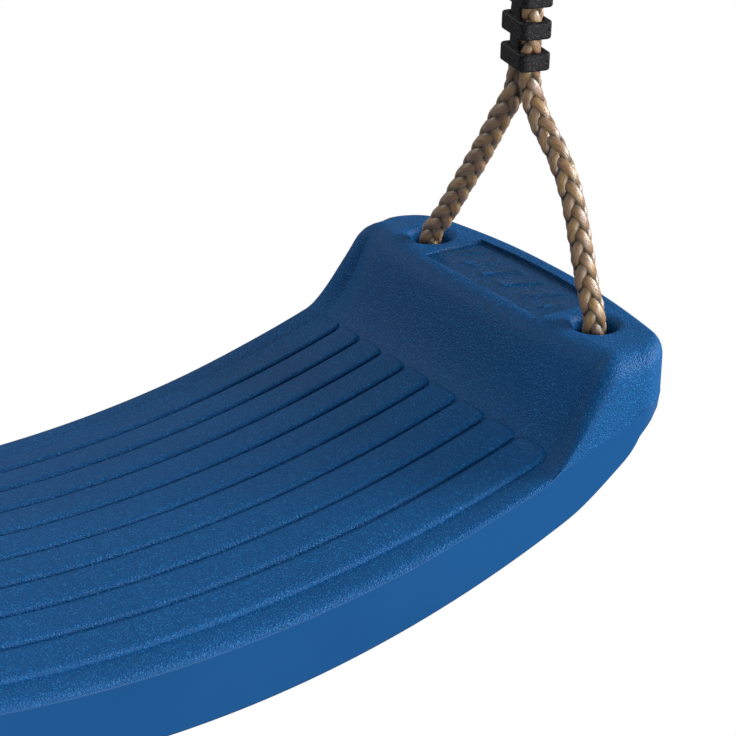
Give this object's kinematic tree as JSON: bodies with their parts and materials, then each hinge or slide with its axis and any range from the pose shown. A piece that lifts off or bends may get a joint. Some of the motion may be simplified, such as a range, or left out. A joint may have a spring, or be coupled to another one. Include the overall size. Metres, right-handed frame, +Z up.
{
  "type": "plastic swing seat with rope bridles",
  "caption": "Curved hollow plastic swing seat with raised ribbed top, hung by a rope bridle, clamp, ring and snap hook at each end from bolted beam hangers.",
  "frame": {"origin": "centre of the four screw holes of the two hangers, on the plane that bears on the beam", "axes": "+Z up into the beam, +X along the seat towards the right-hand hanger, +Y from front to back"},
  "size_m": [0.452, 0.175, 0.3971],
  "materials": {
    "seat_plastic": "fine pebble grain on the upper face, smooth edge",
    "rope": "braided polyhemp with a fibrous sheen",
    "clamp_plastic": "moulded, satin",
    "zinc_rod": "galvanised",
    "zinc_sheet": "galvanised",
    "zinc_fastener": "bright zinc plated",
    "nylon": "natural nylon"
  },
  "bodies": {
    "hangers": {"right_hanger": "zinc_sheet", "left_hanger": "zinc_sheet", "right_pivot_bolt": "zinc_fastener", "left_pivot_bolt": "zinc_fastener", "right_lock_nut": "zinc_fastener", "left_lock_nut": "zinc_fastener"},
    "right_hook": {"right_hook": "zinc_rod", "right_bush": "nylon", "right_gate_pin": "zinc_fastener"},
    "right_gate": {"right_gate": "zinc_sheet"},
    "right_line": {"right_ring": "zinc_rod", "right_thimble": "zinc_sheet", "right_clamp": "clamp_plastic", "right_rope": "rope"},
    "seat": {"seat_shell": "seat_plastic", "right_rope_underseat": "rope", "left_rope_underseat": "rope"},
    "left_line": {"left_ring": "zinc_rod", "left_thimble": "zinc_sheet", "left_clamp": "clamp_plastic", "left_rope": "rope"},
    "left_hook": {"left_hook": "zinc_rod", "left_bush": "nylon", "left_gate_pin": "zinc_fastener"},
    "left_gate": {"left_gate": "zinc_sheet"}
  },
  "joints": [
    {"name": "right_swing", "type": "hinge", "parent": "hangers", "child": "right_hook", "pos_m": [0.196, 0, -0.028], "axis": [1, 0, 0], "range_deg": [-50, 50]},
    {"name": "left_swing", "type": "hinge", "parent": "hangers", "child": "left_hook", "pos_m": [-0.196, 0, -0.028], "axis": [1, 0, 0], "range_deg": [-50, 50]},
    {"name": "sway", "type": "hinge", "parent": "right_hook", "child": "right_line", "pos_m": [0.196, 0, -0.08], "axis": [0, 1, 0], "range_deg": [-12, 12]},
    {"name": "seat_level", "type": "hinge", "parent": "right_line", "child": "seat", "pos_m": [0.196, 0, -0.3031], "axis": [0, 1, 0], "range_deg": [-12, 12]},
    {"name": "left_line_sway", "type": "hinge", "parent": "seat", "child": "left_line", "pos_m": [-0.196, 0, -0.3031], "axis": [0, 1, 0], "range_deg": [-12, 12]},
    {"name": "right_gate_open", "type": "hinge", "parent": "right_hook", "child": "right_gate", "pos_m": [0.196, 0.0085, -0.048], "axis": [-1, 0, 0], "range_deg": [0, 35], "stiffness_Nm_per_rad": 0.02, "springref_deg": -28.65},
    {"name": "left_gate_open", "type": "hinge", "parent": "left_hook", "child": "left_gate", "pos_m": [-0.196, 0.0085, -0.048], "axis": [-1, 0, 0], "range_deg": [0, 35], "stiffness_Nm_per_rad": 0.02, "springref_deg": -28.65}
  ],
  "couplings": [
    {"joint": "left_swing", "follows": "right_swing", "ratio": 1},
    {"joint": "seat_level", "follows": "sway", "ratio": -1},
    {"joint": "left_line_sway", "follows": "sway", "ratio": 1}
  ]
}
